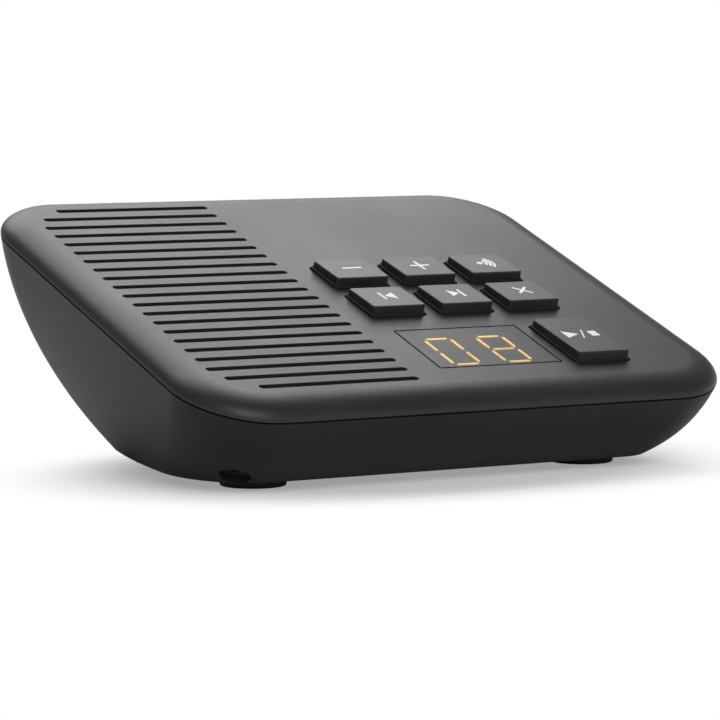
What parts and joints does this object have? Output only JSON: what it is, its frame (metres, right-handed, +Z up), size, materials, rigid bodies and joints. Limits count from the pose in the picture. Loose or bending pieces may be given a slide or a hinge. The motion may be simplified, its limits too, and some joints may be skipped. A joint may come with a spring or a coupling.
{
  "type": "answering_machine",
  "caption": "Desk answering machine in dark grey plastic: tilted cover with slotted speaker grille, raised keys and a lit digit display, over a bowl-shaped housing.",
  "frame": {"origin": "on the table under the middle of the object's bounding box", "axes": "X to the right along the wide front edge, Y from the low front edge to the high back edge, Z up"},
  "size_m": [0.13, 0.102, 0.054],
  "materials": {
    "cover_plastic": "dark anthracite, fine spark-eroded texture",
    "housing_plastic": "dark anthracite, fine spark-eroded texture",
    "key_plastic": "dark anthracite, smooth satin, white printed symbols",
    "window_plastic": "dark smoked, satin front",
    "digit_light": "lit amber",
    "module_plastic": "grey moulded",
    "switch_plastic": "black moulded",
    "button_ivory": "ivory moulded",
    "board_green": "green solder mask",
    "screw_steel": "zinc plated",
    "cloth_black": "black woven",
    "gasket_foam": "soft foam",
    "basket_steel": "black pressed steel",
    "magnet_dark": "plain ferrite",
    "cone_paper": "dark pressed paper",
    "can_metal": "tin plated",
    "rubber_black": "soft black",
    "chip_black": "black moulded",
    "sleeve_blue": "dark blue sleeve",
    "transformer_tape": "yellow tape over the core",
    "contact_gold": "gold plated",
    "ribbon_grey": "grey ribbon",
    "rubber_feet": "dark grey, slightly dusty"
  },
  "bodies": {
    "base": {"top_cover": "cover_plastic", "bottom_housing": "housing_plastic", "display_window": "window_plastic", "display_module": "module_plastic", "digit_bars": "digit_light", "switch_bodies": "switch_plastic", "key_board": "board_green", "key_board_screws": "screw_steel", "grille_cloth": "cloth_black", "speaker_gasket": "gasket_foam", "speaker_frame": "basket_steel", "speaker_magnet": "magnet_dark", "speaker_cone": "cone_paper", "speaker_dust_cap": "cone_paper", "speaker_bracket": "switch_plastic", "bracket_screws": "screw_steel", "microphone": "can_metal", "microphone_boot": "rubber_black", "main_board": "board_green", "main_board_screws": "screw_steel", "processor": "chip_black", "memory_chip": "chip_black", "radio_shield": "can_metal", "crystal": "can_metal", "capacitors": "sleeve_blue", "line_transformer": "transformer_tape", "line_socket": "switch_plastic", "line_contacts": "contact_gold", "power_socket": "switch_plastic", "power_contacts": "contact_gold", "antennas": "can_metal", "lower_header": "module_plastic", "upper_header": "module_plastic", "board_link": "ribbon_grey", "rubber_feet": "rubber_feet", "housing_screws": "screw_steel"},
    "minus": {"key_minus": "key_plastic", "button_minus": "button_ivory"},
    "plus": {"key_plus": "key_plastic", "button_plus": "button_ivory"},
    "page": {"key_page": "key_plastic", "button_page": "button_ivory"},
    "previous": {"key_previous": "key_plastic", "button_previous": "button_ivory"},
    "next": {"key_next": "key_plastic", "button_next": "button_ivory"},
    "delete": {"key_delete": "key_plastic", "button_delete": "button_ivory"},
    "play_stop": {"key_play_stop": "key_plastic", "button_play_stop": "button_ivory"}
  },
  "joints": [
    {"name": "minus_press", "type": "slide", "parent": "base", "child": "minus", "axis": [0, 0.3446, -0.9387], "range_m": [0, 0.0008], "stiffness_N_per_m": 800, "springref_m": -0.0004},
    {"name": "plus_press", "type": "slide", "parent": "base", "child": "plus", "axis": [0, 0.3446, -0.9387], "range_m": [0, 0.0008], "stiffness_N_per_m": 800, "springref_m": -0.0004},
    {"name": "page_press", "type": "slide", "parent": "base", "child": "page", "axis": [0, 0.3446, -0.9387], "range_m": [0, 0.0008], "stiffness_N_per_m": 800, "springref_m": -0.0004},
    {"name": "previous_press", "type": "slide", "parent": "base", "child": "previous", "axis": [0, 0.3446, -0.9387], "range_m": [0, 0.0008], "stiffness_N_per_m": 800, "springref_m": -0.0004},
    {"name": "next_press", "type": "slide", "parent": "base", "child": "next", "axis": [0, 0.3446, -0.9387], "range_m": [0, 0.0008], "stiffness_N_per_m": 800, "springref_m": -0.0004},
    {"name": "delete_press", "type": "slide", "parent": "base", "child": "delete", "axis": [0, 0.3446, -0.9387], "range_m": [0, 0.0008], "stiffness_N_per_m": 800, "springref_m": -0.0004},
    {"name": "play_stop_press", "type": "slide", "parent": "base", "child": "play_stop", "axis": [0, 0.3446, -0.9387], "range_m": [0, 0.0008], "stiffness_N_per_m": 800, "springref_m": -0.0004}
  ]
}
